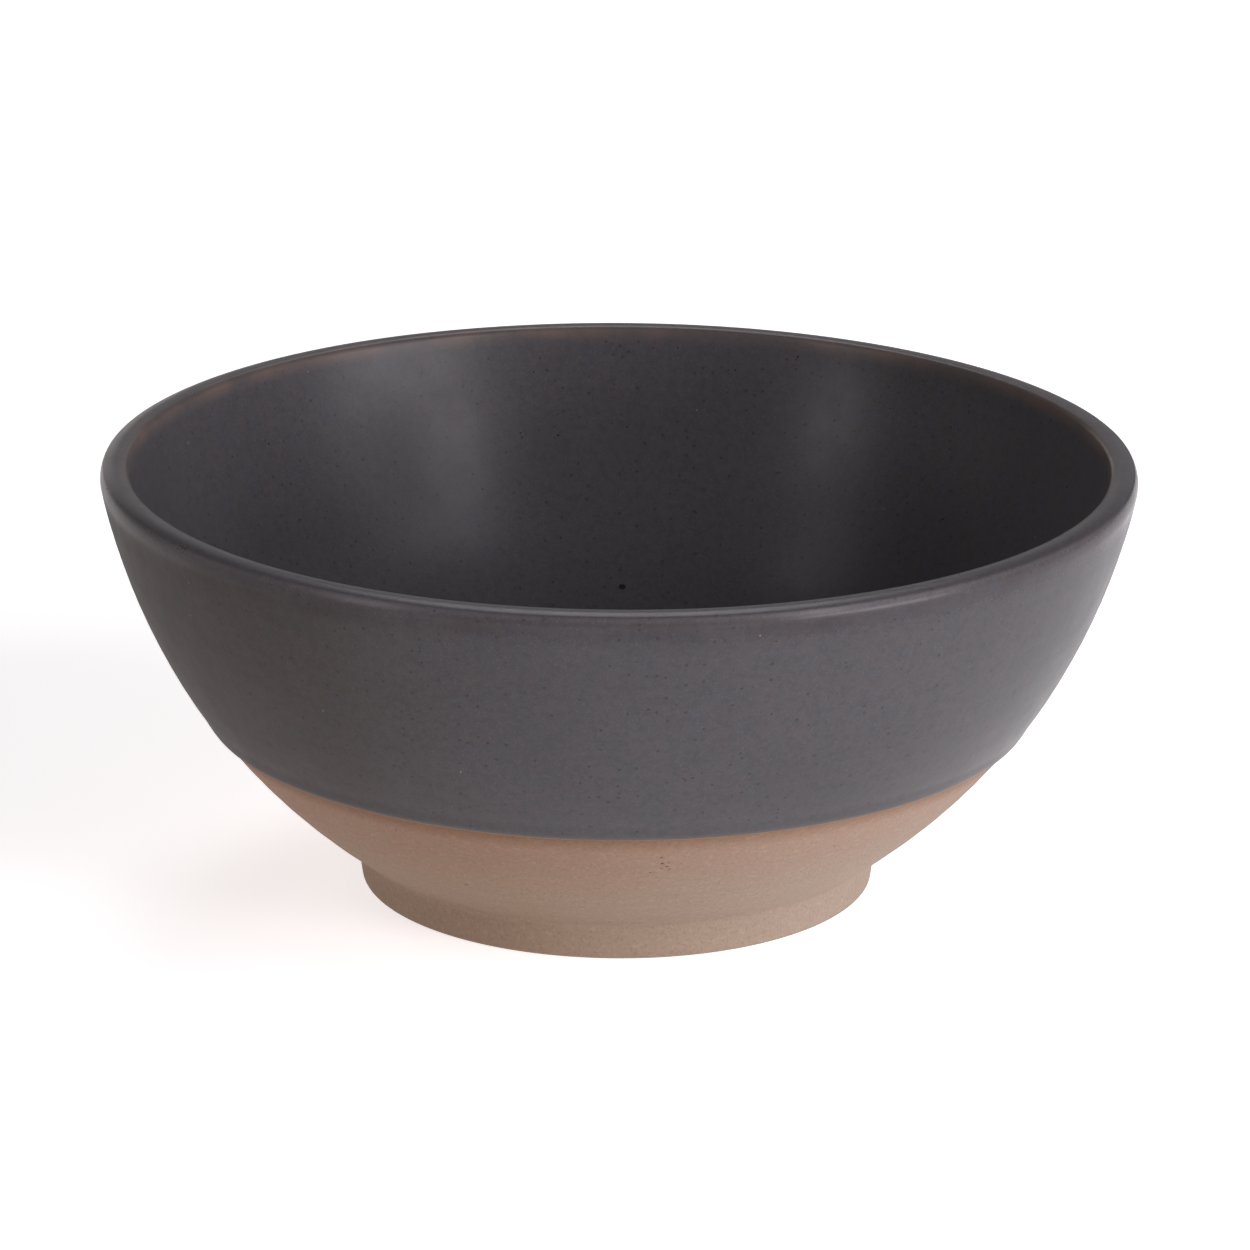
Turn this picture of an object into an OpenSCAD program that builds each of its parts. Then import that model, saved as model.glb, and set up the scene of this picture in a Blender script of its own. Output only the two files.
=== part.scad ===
// Footed stoneware bowl, half dipped in a matt grey glaze.
// The origin is the centre of the foot's underside, on the bowl's axis, with +Z up.
// Every piece is a solid of revolution about that axis, and its outline is given as [radius, height].

/* [Bowl] */
// Diameter at the rim, over the glaze
rim_d = 150; // [120:1:190]
// Height from the foot's underside to the top of the rim, over the glaze
bowl_h = 63.5; // [52:0.5:80]
// How far the wall bulges out past a straight line from the foot to the rim
belly_bulge = 6.4; // [3:0.1:10]
// Thickness of the rim, over the glaze inside and outside
rim_w = 4.1; // [3.6:0.1:6]
// Radius that rounds the rim's inner and outer corner, over the glaze
rim_round_r = 1.5; // [1:0.1:1.7]
// Thickness that the wall grows to on its way down to the foot, over the inside glaze
low_wall_t = 6; // [4.6:0.1:8]

/* [Floor] */
// Thickness of the floor above the foot ring, over the inside glaze
floor_t = 5.2; // [4:0.1:8]
// Height above the floor at which the floor's curve runs into the wall
floor_curve_h = 24; // [12:1:34]

/* [Foot] */
// Diameter of the foot ring at its top, where the belly starts
foot_d = 76.4; // [64:0.2:90]
// Diameter of the foot ring over its outer edge at the table
foot_base_d = 75; // [62:0.2:76]
// Height of the foot ring, and depth of the hollow inside it
foot_h = 5.4; // [4.8:0.1:9]
// Width of the foot ring over its edges at the table
foot_w = 5.6; // [4:0.1:9]
// How much further in the ring reaches at its top than at the table
foot_draft = 1.2; // [0.2:0.1:3]
// Radius that rounds the two edges the bowl stands on
foot_round_r = 0.6; // [0.3:0.1:1.4]

/* [Glaze] */
// Thickness of the glaze coats
glaze_t = 0.3; // [0.2:0.05:0.6]
// Height of the lower edge of the outside glaze
glaze_line_h = 26.2; // [14:0.5:44]
// Thickness of the roll in which the outside glaze ends
roll_t = 0.45; // [0.3:0.05:0.8]
// Width of that roll, measured up the wall
roll_w = 3.2; // [2:0.1:6]

/* [Hidden] */

// How far the straight pieces of an outline may lie inside the arc that they follow
arc_gap = 0.006;
// Number of straight pieces that draw each half of the glaze roll
roll_steps = 8;
// Number of facets round the axis
turn_steps = 256;

function direction(angle) = [cos(angle), sin(angle)];
function angle_of(v) = atan2(v[1], v[0]);

// Points of an arc between two angles, both ends included
function arc(centre, r, from_a, to_a) =
    let (steps = ceil(abs(to_a - from_a) / (2 * acos(1 - arc_gap / r))))
    [for (i = [0:steps]) centre + r * direction(from_a + (to_a - from_a) * i / steps)];

function backwards(points) = [for (i = [len(points) - 1:-1:0]) points[i]];

// Outer wall: one arc that touches the rim's outer round and runs down to the top of the foot
rim_r = rim_d / 2;
rim_out_c = [rim_r - rim_round_r, bowl_h - rim_round_r];
rim_in_c = [rim_r - rim_w + rim_round_r, bowl_h - rim_round_r];
clay_round_r = rim_round_r - glaze_t;
crease = [foot_d / 2, foot_h];
rim_to_crease = crease - rim_out_c;
// The wall's lean at the rim, in degrees from upright
rim_lean = atan2(rim_to_crease[0], rim_to_crease[1]) + 180 - 2 * atan(2 * belly_bulge / norm(rim_to_crease));
outward = direction(-rim_lean);
belly_reach = (rim_to_crease * rim_to_crease - pow(clay_round_r, 2))
    / (2 * (clay_round_r - rim_to_crease * outward));
belly_c = rim_out_c - belly_reach * outward;
belly_r = belly_reach + clay_round_r;
crease_a = angle_of(crease - belly_c);
glaze_line_a = asin((glaze_line_h - belly_c[1]) / belly_r);

// Inner wall: an arc that touches the rim's inner round and leaves low_wall_t of wall at the foot
inner_low = belly_c + (belly_r - low_wall_t) * direction(crease_a);
rim_to_low = inner_low - rim_in_c;
low_across = -(rim_to_low * outward);
inner_r = (rim_to_low * rim_to_low - 2 * rim_round_r * low_across + pow(rim_round_r, 2))
    / (2 * (low_across - rim_round_r));
inner_c = rim_in_c - (inner_r + rim_round_r) * outward;

// Floor: flat in the middle, and an arc that touches both the flat and the inner wall
floor_z = foot_h + floor_t;
cove_a = asin((floor_z + floor_curve_h - inner_c[1]) / inner_r);
cove_r = floor_curve_h / (1 + sin(cove_a));
cove_c = inner_c + (inner_r - cove_r) * direction(cove_a);

// Foot ring
foot_out_r = foot_base_d / 2;
foot_in_r = foot_out_r - foot_w;
foot_top_in_r = foot_in_r - foot_draft;
foot_out_c = [foot_out_r - foot_round_r, foot_round_r];
foot_in_c = [foot_in_r + foot_round_r, foot_round_r];

// Angle from upright of a straight side that touches a round at its foot and ends so far out and up
function side_lean(out, up, r) = atan2(out, up) - asin(r / norm([out, up]));

// Outside of the clay from the crease up to the glaze line, and on up to the middle of the rim.
// With a thickness, the same outline lies that far off the clay.
function bare_wall() = arc(belly_c, belly_r, crease_a, glaze_line_a);
function outer_wall(coat, from_a) = concat(
    arc(belly_c, belly_r + coat, from_a, -rim_lean),
    arc(rim_out_c, clay_round_r + coat, -rim_lean, 90),
    [rim_middle(coat)]
);
function rim_middle(coat) = [(rim_out_c[0] + rim_in_c[0]) / 2, rim_out_c[1] + clay_round_r + coat];

// Inside of the bowl from the middle of the rim down to the middle of the floor
function inner_wall(coat) = concat(
    [rim_middle(coat)],
    arc(rim_in_c, clay_round_r + coat, 90, 180 - rim_lean),
    arc(inner_c, inner_r + glaze_t - coat, -rim_lean, cove_a),
    arc(cove_c, cove_r + glaze_t - coat, cove_a, -90),
    [[0, floor_z - glaze_t + coat]]
);

// Thickness of the outside glaze at a distance above its lower edge
function roll_coat(up) =
    up < roll_t
    ? sqrt(pow(roll_t, 2) - pow(roll_t - up, 2))
    : glaze_t + (roll_t - glaze_t) * (1 + cos(180 * (up - roll_t) / (roll_w - roll_t))) / 2;
// Heights above the edge: close together round the edge itself, evenly spread over the rest
function roll_ups() = concat(
    [for (i = [1:roll_steps]) roll_t * (1 - cos(90 * i / roll_steps))],
    [for (i = [1:roll_steps]) roll_t + (roll_w - roll_t) * i / roll_steps]
);
function roll_a(up) = glaze_line_a + up / belly_r * 180 / PI;
function roll() = [for (up = roll_ups()) belly_c + (belly_r + roll_coat(up)) * direction(roll_a(up))];

module turned(outline) {
    rotate_extrude($fn = turn_steps) polygon(outline);
}

// Fired clay: wall and floor in one piece, with a flat underside for the foot ring
module stoneware_body() {
    color("#b0917d")
        turned(concat(
            [[0, foot_h]],
            bare_wall(),
            outer_wall(0, glaze_line_a),
            inner_wall(0)
        ));
}

// Ring of the same clay, joined on with slip under the floor
module foot_ring() {
    out_lean = side_lean(crease[0] - foot_out_c[0], foot_h - foot_round_r, foot_round_r);
    in_lean = side_lean(foot_in_c[0] - foot_top_in_r, foot_h - foot_round_r, foot_round_r);
    color("#a88b78")
        turned(concat(
            arc(foot_out_c, foot_round_r, -90, -out_lean),
            [crease, [foot_top_in_r, foot_h]],
            arc(foot_in_c, foot_round_r, -180 + in_lean, -90)
        ));
}

// Glaze poured inside: from the middle of the rim down the wall and over the floor
module inside_glaze() {
    color("#3c3a40")
        turned(concat(inner_wall(glaze_t), backwards(inner_wall(0))));
}

// Glaze that the bowl was dipped in: from the middle of the rim down to the glaze line
module outside_glaze() {
    color("#57545b")
        turned(concat(
            roll(),
            outer_wall(glaze_t, roll_a(roll_w)),
            backwards(outer_wall(0, glaze_line_a))
        ));
}

stoneware_body();
foot_ring();
inside_glaze();
outside_glaze();
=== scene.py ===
import math
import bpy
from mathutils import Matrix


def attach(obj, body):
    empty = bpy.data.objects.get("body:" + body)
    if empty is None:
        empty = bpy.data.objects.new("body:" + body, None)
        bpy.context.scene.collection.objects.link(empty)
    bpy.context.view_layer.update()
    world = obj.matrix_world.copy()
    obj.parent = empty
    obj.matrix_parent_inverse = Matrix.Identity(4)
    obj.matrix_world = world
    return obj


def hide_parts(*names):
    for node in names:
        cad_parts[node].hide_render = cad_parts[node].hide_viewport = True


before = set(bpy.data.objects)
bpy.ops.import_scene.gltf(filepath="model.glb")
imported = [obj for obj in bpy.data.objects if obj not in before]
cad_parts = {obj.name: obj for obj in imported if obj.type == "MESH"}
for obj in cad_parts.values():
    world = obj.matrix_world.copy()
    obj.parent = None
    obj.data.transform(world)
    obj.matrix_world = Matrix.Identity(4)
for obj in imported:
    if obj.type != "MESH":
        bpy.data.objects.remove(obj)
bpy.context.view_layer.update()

from types import SimpleNamespace
import bmesh
import bpy
import numpy as np
from mathutils import Matrix, Vector
from mathutils.bvhtree import BVHTree

scene = bpy.context.scene
mm = 0.001


# Helpers for node trees
def feed(tree, socket, value):
    if isinstance(value, bpy.types.NodeSocket):
        tree.links.new(value, socket)
    else:
        socket.default_value = value


def place(tree, kind, inputs=None, **settings):
    made = tree.nodes.new(kind)
    for name, value in settings.items():
        setattr(made, name, value)
    for name, value in (inputs or {}).items():
        feed(tree, made.inputs[name], value)
    return made


def calc(tree, operation, *terms):
    made = place(tree, "ShaderNodeMath", operation=operation)
    for socket, term in zip(made.inputs, terms):
        feed(tree, socket, term)
    return made.outputs[0]


def times(tree, product, *factors):
    for factor in factors:
        product = calc(tree, "MULTIPLY", product, factor)
    return product


def plus(tree, total, *terms):
    for term in terms:
        total = calc(tree, "ADD", total, term)
    return total


def noise(tree, vector, scale, detail=2.0, roughness=0.5):
    inputs = {"Vector": vector, "Scale": scale, "Detail": detail, "Roughness": roughness}
    return place(tree, "ShaderNodeTexNoise", inputs).outputs[0]


# Value as a share of the way from low to high, with soft ends
def share(tree, value, low, high):
    inputs = {"Value": value, "From Min": low, "From Max": high}
    return place(tree, "ShaderNodeMapRange", inputs, interpolation_type="SMOOTHSTEP").outputs[0]


def separate(tree, vector):
    return place(tree, "ShaderNodeSeparateXYZ", {"Vector": vector}).outputs


def combine(tree, x, y, z):
    return place(tree, "ShaderNodeCombineXYZ", {"X": x, "Y": y, "Z": z}).outputs[0]


# The bowl's form in mm, with the sizes of the part's source
bowlForm = {
    "rimDiameter": 150.0,
    "height": 63.5,
    "bellyBulge": 6.4,
    "rimWidth": 4.1,
    "rimRound": 1.5,
    "lowWall": 6.0,
    "floorThickness": 5.2,
    "floorCurve": 24.0,
    "footDiameter": 76.4,
    "footBase": 75.0,
    "footHeight": 5.4,
    "footWidth": 5.6,
    "footDraft": 1.2,
    "footRound": 0.6,
    "glaze": 0.3,
    "glazeLine": 26.2,
    "roll": 0.45,
    "rollWidth": 3.2,
}

# How a hand-turned bowl departs from that form, in mm where nothing else is said
handWork = {
    "oval": 0.05,  # rim out of round
    "ovalTurn": -0.9,  # in radians round the axis
    "flutter": 0.05,  # slower waves of the wall
    "flutterInwards": 0.7,  # share taken off them, to keep the bowl inside its size
    "rimDip": 0.10,  # unevenness of the rim's height
    "rimDipDown": 0.8,  # share taken off it, for the same reason
    "riseFrom": 4.0,  # height from which the form goes out of round
    # Radii of the lip's arcs over the glaze, each with the angle it ends at
    "lipOuter": ((4.6, 69.0), (0.6, 28.0), (3.0, None)),
    "lipInner": ((3.9, 104.0), (0.84, None)),
    "lipZone": 5.0,  # stretch of the belly below the lip that gets closer points
    "lipZoneStep": 0.4,  # their spacing there, as a share of the usual one
    "lineWave": 0.22,  # waves of the glaze line
    "lineWaveFine": 0.45,  # smaller waves on them, as a share
    "ripple": 0.022,  # turning marks on the outside, half their depth
    "ripplePitch": 2.9,
    "rippleWander": 2.2,  # how far the marks leave their course, in radians
    "wanderScale": 60.0,  # of the noise for that
    "wanderCloser": 3.0,  # times closer up the wall
    "spiral": 0.035,  # throwing marks on the floor, half their depth
    "spiralPitch": 5.2,
    "spiralMiddle": (1.0, 7.0),  # radii between which the spiral grows to its depth
    # Where the outside stands out or in: how far, at what height, and reach up and down
    "swells": (
        (0.13, 60.5, 6.5),  # collar under the lip
        (0.10, 29.0, 6.5),  # shoulder above the glaze line
        (-0.07, 10.0, 5.0),  # waist above the foot
    ),
}
# Noises that run round the axis: lobes, place in the noise and detail
roundNoises = {
    "line": (1.1, 3.0, 1.0),
    "lineFine": (5.0, 7.0, 2.0),
    "flutter": (0.9, 11.0, 1.0),
    "rimDip": (1.3, 17.0, 1.0),
}
# What the turning tree takes in mm
turningSizes = {
    "Rim Radius": bowlForm["rimDiameter"] / 2,
    "Rim Height": bowlForm["height"],
    "Oval": handWork["oval"],
    "Flutter": handWork["flutter"],
    "Rim Dip": handWork["rimDip"],
    "Line Wave": handWork["lineWave"],
    "Ripple": handWork["ripple"],
    "Ripple Pitch": handWork["ripplePitch"],
    "Spiral": handWork["spiral"],
    "Spiral Pitch": handWork["spiralPitch"],
}
noiseSeed = 4.0
turnSteps = 320  # facets round the axis
sharpAngle = 40.0  # edges bent more than this stay sharp


def direction(degrees):
    return np.array([math.cos(math.radians(degrees)), math.sin(math.radians(degrees))])


def angleOf(v):
    return math.degrees(math.atan2(v[1], v[0]))


# Centres of a chain of touching arcs that starts upright at a height and ends reach away from the pivot
def chainCentres(chain, height, pivot, reach):
    centres = [np.array([0.0, height - chain[0][0]])]
    for (radius, end), (following, _) in zip(chain, chain[1:]):
        centres.append(centres[-1] + (radius - following) * direction(end))
    shift = pivot[0] + math.sqrt(reach**2 - (centres[-1][1] - pivot[1]) ** 2) - centres[-1][0]
    return [centre + [shift, 0] for centre in centres]


# The same arcs as in the part's source: belly outside, wall and cove inside
def workOutForm(f):
    form = SimpleNamespace()
    rimRound, clayRound = f["rimRound"], f["rimRound"] - f["glaze"]
    rimOut = np.array([f["rimDiameter"] / 2 - rimRound, f["height"] - rimRound])
    rimIn = np.array([f["rimDiameter"] / 2 - f["rimWidth"] + rimRound, f["height"] - rimRound])
    form.crease = np.array([f["footDiameter"] / 2, f["footHeight"]])
    toCrease = form.crease - rimOut
    bulge = math.degrees(math.atan(2 * f["bellyBulge"] / np.linalg.norm(toCrease)))
    lean = math.degrees(math.atan2(toCrease[0], toCrease[1])) + 180 - 2 * bulge
    outward = direction(-lean)
    reach = (toCrease @ toCrease - clayRound**2) / (2 * (clayRound - toCrease @ outward))
    form.bellyCentre = rimOut - reach * outward
    form.bellyRadius = reach + clayRound
    form.creaseAngle = angleOf(form.crease - form.bellyCentre)
    form.lineAngle = math.degrees(math.asin((f["glazeLine"] - form.bellyCentre[1]) / form.bellyRadius))
    toLow = form.bellyCentre + (form.bellyRadius - f["lowWall"]) * direction(form.creaseAngle) - rimIn
    across = -(toLow @ outward)
    form.innerRadius = (toLow @ toLow - 2 * rimRound * across + rimRound**2) / (2 * (across - rimRound))
    form.innerCentre = rimIn - (form.innerRadius + rimRound) * outward
    form.floorTop = f["footHeight"] + f["floorThickness"]
    coveTop = form.floorTop + f["floorCurve"]
    form.coveAngle = math.degrees(math.asin((coveTop - form.innerCentre[1]) / form.innerRadius))
    form.coveRadius = f["floorCurve"] / (1 + math.sin(math.radians(form.coveAngle)))
    form.coveCentre = form.innerCentre + (form.innerRadius - form.coveRadius) * direction(form.coveAngle)
    # The lip is softer than the part's: chains of arcs run from its top out to the belly and in to the wall
    outerReach = form.bellyRadius + f["glaze"] - handWork["lipOuter"][-1][0]
    innerReach = form.innerRadius + handWork["lipInner"][-1][0]
    form.lipOuter = chainCentres(handWork["lipOuter"], f["height"], form.bellyCentre, outerReach)
    form.lipInner = chainCentres(handWork["lipInner"], f["height"], form.innerCentre, innerReach)
    form.lipOuterAngle = angleOf(form.lipOuter[-1] - form.bellyCentre)
    form.lipInnerAngle = angleOf(form.lipInner[-1] - form.innerCentre)
    return form


form = workOutForm(bowlForm)
crown = [round(chain[0][0], 2) for chain in (form.lipInner, form.lipOuter)]
print("lip crown from", crown[0], "to", crown[1], "mm off the axis")


# Pieces of an outline, as rows of radius and height
def arc(centre, radius, fromAngle, toAngle, step):
    steps = max(2, math.ceil(math.radians(abs(toAngle - fromAngle)) * radius / step))
    angles = np.radians(np.linspace(fromAngle, toAngle, steps + 1))
    return np.column_stack((centre[0] + radius * np.cos(angles), centre[1] + radius * np.sin(angles)))


def straight(start, end, step):
    steps = max(1, math.ceil(math.dist(start, end) / step))
    return np.linspace(start, end, steps + 1)


def lipArcs(centres, chain, lastAngle, coat, fine):
    starts = [90.0] + [end for _, end in chain[:-1]]
    ends = starts[1:] + [lastAngle]
    radii = [radius - bowlForm["glaze"] + coat for radius, _ in chain]
    return [arc(*piece, fine) for piece in zip(centres, radii, starts, ends)]


# Outside from an angle on the belly up to the top of the lip; coat is the thickness over the clay
def outerWall(coat, fromAngle, step, fine):
    reach = form.bellyRadius + coat
    nearLip = form.lipOuterAngle - math.degrees(handWork["lipZone"] / form.bellyRadius)
    low = arc(form.bellyCentre, reach, fromAngle, nearLip, step)
    high = arc(form.bellyCentre, reach, nearLip, form.lipOuterAngle, step * handWork["lipZoneStep"])
    lip = lipArcs(form.lipOuter, handWork["lipOuter"], form.lipOuterAngle, coat, fine)
    return [low, high[1:]] + [stretch[::-1] for stretch in reversed(lip)]


# Inside from the top of the lip down to the middle of the floor
def innerWall(coat, step, fine):
    inset = bowlForm["glaze"] - coat
    floor = form.floorTop - bowlForm["glaze"] + coat
    return lipArcs(form.lipInner, handWork["lipInner"], 180 + form.lipInnerAngle, coat, fine) + [
        arc(form.innerCentre, form.innerRadius + inset, form.lipInnerAngle, form.coveAngle, step),
        arc(form.coveCentre, form.coveRadius + inset, form.coveAngle, -90, step),
        straight([form.coveCentre[0], floor], [0, floor], step),
    ]


# One outline out of its stretches, without the points that two stretches share
def join(*stretches):
    points = [stretches[0]]
    for stretch in stretches[1:]:
        meets = np.allclose(stretch[0], points[-1][-1], atol=1e-6)
        points.append(stretch[1:] if meets else stretch)
    return np.vstack(points)


def bump(height, centre, width):
    return np.exp(-(((height - centre) / width) ** 2))


# The outside wall with its collar, shoulder and waist
def drift(points):
    height = points[:, 1]
    points[:, 0] += sum(amount * bump(height, centre, width) for amount, centre, width in handWork["swells"])
    return points


# How far points lie below the glaze line, measured down the belly in mm
def belowLine(points):
    angles = np.degrees(np.arctan2(points[:, 1] - form.bellyCentre[1], points[:, 0] - form.bellyCentre[0]))
    return np.radians(form.lineAngle - angles) * form.bellyRadius


# A Geometry Nodes tree with named inputs
def startTree(name, source, kinds, result):
    tree = bpy.data.node_groups.new(name, "GeometryNodeTree")
    for label, kind in {source: "Geometry", **kinds}.items():
        tree.interface.new_socket(label, in_out="INPUT", socket_type="NodeSocket" + kind)
    tree.interface.new_socket(result, in_out="OUTPUT", socket_type="NodeSocketGeometry")
    return tree, place(tree, "NodeGroupInput").outputs


# The end of a tree: its material and its output
def endTree(tree, geometry, material, result):
    inputs = {"Geometry": geometry, "Material": material}
    dressed = place(tree, "GeometryNodeSetMaterial", inputs).outputs[0]
    place(tree, "NodeGroupOutput", {result: dressed})
    return tree


def weight(tree, name):
    made = place(tree, "GeometryNodeInputNamedAttribute", {"Name": name}, data_type="FLOAT")
    return made.outputs["Attribute"]


# Geometry Nodes: an outline turned round the axis, with the unevenness of hand work
def turningTree():
    work = handWork
    kinds = dict.fromkeys([*turningSizes, "Seed"], "Float")
    kinds.update({"Facets": "Int", "Line Slope": "Vector", "Material": "Material"})
    tree, given = startTree("turnOnWheel", "Outline", kinds, "Piece")
    outline = place(tree, "GeometryNodeMeshToCurve", {"Mesh": given["Outline"]}).outputs[0]
    circle = {"Resolution": given["Facets"], "Radius": given["Rim Radius"]}
    wheel = place(tree, "GeometryNodeCurvePrimitiveCircle", circle).outputs[0]
    swept = place(tree, "GeometryNodeCurveToMesh", {"Curve": wheel, "Profile Curve": outline}).outputs[0]
    welded = place(tree, "GeometryNodeMergeByDistance", {"Geometry": swept, "Distance": 1e-6}).outputs[0]

    spot = separate(tree, place(tree, "GeometryNodeInputPosition").outputs[0])
    x, y, z = spot["X"], spot["Y"], spot["Z"]
    turn = calc(tree, "ARCTAN2", y, x)
    across = calc(tree, "SQRT", plus(tree, times(tree, x, x), times(tree, y, y)))
    cosine, sine = calc(tree, "COSINE", turn), calc(tree, "SINE", turn)

    # Noise that runs once round the axis and meets itself, from -1 to 1
    def roundNoise(name):
        lobes, shift, detail = roundNoises[name]
        depth = plus(tree, given["Seed"], shift)
        where = combine(tree, times(tree, cosine, lobes), times(tree, sine, lobes), depth)
        return calc(tree, "MULTIPLY_ADD", noise(tree, where, 1.0, detail), 2.0, -1.0)

    # Out of round and out of level, more so the higher up
    rise = share(tree, z, work["riseFrom"] * mm, given["Rim Height"])
    lobe = calc(tree, "COSINE", calc(tree, "MULTIPLY_ADD", turn, 2.0, work["ovalTurn"]))
    oval = times(tree, given["Oval"], calc(tree, "SUBTRACT", lobe, 1.0))
    waves = calc(tree, "SUBTRACT", roundNoise("flutter"), work["flutterInwards"])
    flutter = times(tree, given["Flutter"], waves)
    outness = calc(tree, "DIVIDE", across, given["Rim Radius"])
    outOfRound = times(tree, plus(tree, oval, flutter), rise, outness)
    unlevel = calc(tree, "SUBTRACT", roundNoise("rimDip"), work["rimDipDown"])
    dip = times(tree, given["Rim Dip"], unlevel, times(tree, rise, rise))

    # Turning marks up the outside, and a spiral on the floor
    wander = noise(tree, combine(tree, x, y, times(tree, z, work["wanderCloser"])), work["wanderScale"])
    course = calc(tree, "MULTIPLY_ADD", calc(tree, "DIVIDE", z, given["Ripple Pitch"]), math.tau, turn)
    lines = calc(tree, "SINE", plus(tree, course, times(tree, work["rippleWander"], wander)))
    ripple = times(tree, given["Ripple"], weight(tree, "ripple"), lines)
    course = calc(tree, "MULTIPLY_ADD", calc(tree, "DIVIDE", across, given["Spiral Pitch"]), math.tau, turn)
    middle = share(tree, across, *[radius * mm for radius in work["spiralMiddle"]])
    rings = times(tree, calc(tree, "SINE", course), middle)
    spiral = times(tree, given["Spiral"], weight(tree, "spiral"), rings)

    # The glaze's lower edge waves up and down the wall's slope
    fine = times(tree, work["lineWaveFine"], roundNoise("lineFine"))
    wave = times(tree, given["Line Wave"], plus(tree, roundNoise("line"), fine))
    pull = times(tree, wave, weight(tree, "pull"))
    slope = separate(tree, given["Line Slope"])

    outward = plus(tree, outOfRound, ripple, times(tree, pull, slope["X"]))
    upward = plus(tree, spiral, dip, times(tree, pull, slope["Z"]))
    offset = combine(tree, times(tree, outward, cosine), times(tree, outward, sine), upward)
    below = plus(tree, weight(tree, "belowGlaze"), wave)
    store = {"Geometry": welded, "Name": "belowGlaze", "Value": below}
    marked = place(tree, "GeometryNodeStoreNamedAttribute", store, data_type="FLOAT", domain="POINT")
    inputs = {"Geometry": marked.outputs[0], "Offset": offset}
    moved = place(tree, "GeometryNodeSetPosition", inputs).outputs[0]
    real = place(tree, "GeometryNodeRealizeInstances", {"Geometry": moved}).outputs[0]
    return endTree(tree, real, given["Material"], "Piece")


# One strewn speck
speckGrain = {
    "smallOften": 3.5,  # power by which small ones outnumber large ones
    "narrowest": 0.6,  # width as a share of length
    "segments": 10,
    "rings": 4,
}


# Geometry Nodes: low specks strewn over a surface, half sunk in it
def speckTree():
    kinds = dict.fromkeys(("Density", "Smallest", "Largest", "Height Share"), "Float")
    kinds.update({"Seed": "Int", "Material": "Material"})
    tree, given = startTree("strewSpecks", "Surface", kinds, "Specks")
    density = times(tree, weight(tree, "speckle"), given["Density"])
    inputs = {"Mesh": given["Surface"], "Density": density, "Seed": given["Seed"]}
    strewn = place(tree, "GeometryNodeDistributePointsOnFaces", inputs, distribute_method="RANDOM").outputs

    def draw(low, high, shift):
        made = place(tree, "FunctionNodeRandomValue", data_type="FLOAT")
        values = {"Min": low, "Max": high, "Seed": plus(tree, given["Seed"], shift)}
        for socket in made.inputs:
            if socket.enabled and socket.name in values:
                feed(tree, socket, values[socket.name])
        return [socket for socket in made.outputs if socket.enabled][0]

    often = calc(tree, "POWER", draw(0.0, 1.0, 1.0), speckGrain["smallOften"])
    span = calc(tree, "SUBTRACT", given["Largest"], given["Smallest"])
    size = times(tree, calc(tree, "MULTIPLY_ADD", often, span, given["Smallest"]), 0.5)
    width = times(tree, size, draw(speckGrain["narrowest"], 1.0, 2.0))
    scale = combine(tree, size, width, times(tree, size, given["Height Share"]))
    euler = {"Euler": combine(tree, 0.0, 0.0, draw(0.0, math.tau, 3.0))}
    spin = place(tree, "FunctionNodeEulerToRotation", euler).outputs[0]
    inputs = {"Rotation": strewn["Rotation"], "Rotate By": spin}
    turn = place(tree, "FunctionNodeRotateRotation", inputs, rotation_space="LOCAL").outputs[0]
    sphere = {"Radius": 1.0, "Segments": speckGrain["segments"], "Rings": speckGrain["rings"]}
    grain = place(tree, "GeometryNodeMeshUVSphere", sphere).outputs["Mesh"]
    inputs = {"Points": strewn["Points"], "Instance": grain, "Rotation": turn, "Scale": scale}
    settled = place(tree, "GeometryNodeInstanceOnPoints", inputs).outputs[0]
    real = place(tree, "GeometryNodeRealizeInstances", {"Geometry": settled}).outputs[0]
    smooth = place(tree, "GeometryNodeSetShadeSmooth", {"Geometry": real}).outputs[0]
    return endTree(tree, smooth, given["Material"], "Specks")


turnOnWheel = turningTree()
strewSpecks = speckTree()


# Runs a tree on a mesh and gives back a plain mesh object without the modifier
def grow(name, source, tree, values):
    carrier = bpy.data.objects.new(name + "_source", source)
    scene.collection.objects.link(carrier)
    modifier = carrier.modifiers.new("nodes", "NODES")
    modifier.node_group = tree
    sockets = {item.name: item.identifier for item in tree.interface.items_tree if item.in_out == "INPUT"}
    for label, value in values.items():
        modifier[sockets[label]] = value
    graph = bpy.context.evaluated_depsgraph_get()
    grown = carrier.evaluated_get(graph)
    mesh = bpy.data.meshes.new_from_object(grown, preserve_all_data_layers=True, depsgraph=graph)
    bpy.data.objects.remove(carrier)
    mesh.name = name
    mesh.materials.clear()  # the tree's result has an empty slot before its material
    mesh.materials.append(values["Material"])
    mesh.polygons.foreach_set("material_index", np.zeros(len(mesh.polygons), np.int32))
    piece = bpy.data.objects.new(name, mesh)
    scene.collection.objects.link(piece)
    return piece


def faceOutwards(mesh):
    work = bmesh.new()
    work.from_mesh(mesh)
    bmesh.ops.recalc_face_normals(work, faces=work.faces)
    if work.calc_volume(signed=True) < 0:
        bmesh.ops.reverse_faces(work, faces=work.faces)
    work.to_mesh(mesh)
    work.free()


# What each point of an outline carries for the trees and the materials
marks = ("ripple", "spiral", "pull", "belowGlaze", "speckle", "breakAndHighlight", "underLip", "lipHighlight")


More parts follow.
